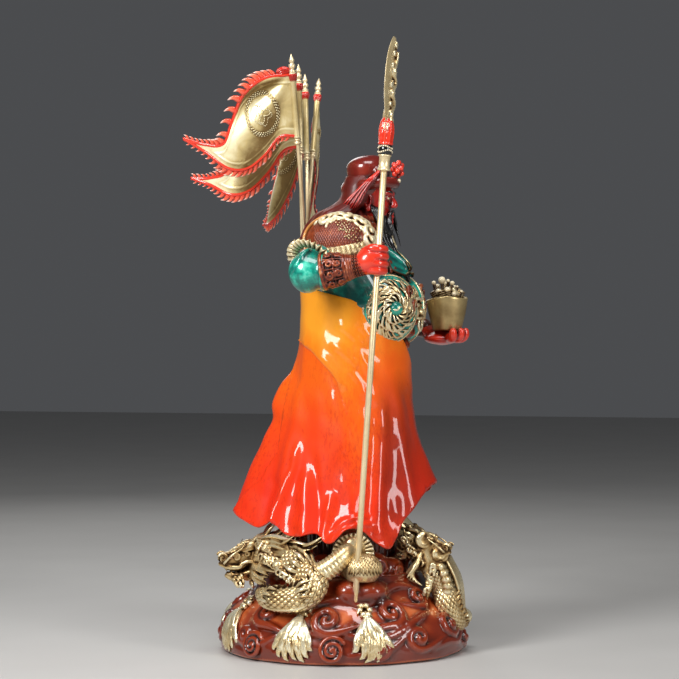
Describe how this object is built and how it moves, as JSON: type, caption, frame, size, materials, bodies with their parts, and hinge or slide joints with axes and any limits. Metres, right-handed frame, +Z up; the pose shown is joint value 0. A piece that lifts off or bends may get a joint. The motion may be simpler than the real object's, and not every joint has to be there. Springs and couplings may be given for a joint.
{
  "type": "guan yu statue",
  "caption": "Painted cast brass statue of a robed, bearded general with halberd, treasure bowl and back flags, standing on a round plinth of clouds and dragons.",
  "frame": {"origin": "middle of the plinth's flat underside", "axes": "+Z up, the figure faces -Y, its right hand with the halberd is towards -X"},
  "size_m": [0.2687, 0.2858, 0.5935],
  "materials": {
    "robe_enamel": "glossy orange to vermilion enamel",
    "cloud_lacquer": "glossy dark red-brown lacquer",
    "pale_brass": "satin pale brass",
    "antique_gold": "bright gold with dark wash in the hollows",
    "teal_enamel": "glossy marbled teal enamel",
    "red_lacquer": "glossy red lacquer",
    "black_lacquer": "glossy black lacquer"
  },
  "bodies": {
    "root": {"figure": "robe_enamel", "plinth": "cloud_lacquer", "halberd_shaft": "pale_brass", "halberd_ferrule": "pale_brass", "halberd_head": "antique_gold", "treasure_bowl": "antique_gold", "flag_pole_right_outer": "pale_brass", "flag_right_outer": "antique_gold", "flag_pole_right_inner": "pale_brass", "flag_right_inner": "antique_gold", "flag_pole_left_inner": "pale_brass", "flag_left_inner": "antique_gold", "flag_pole_left_outer": "pale_brass", "flag_left_outer": "antique_gold"}
  },
  "joints": []
}
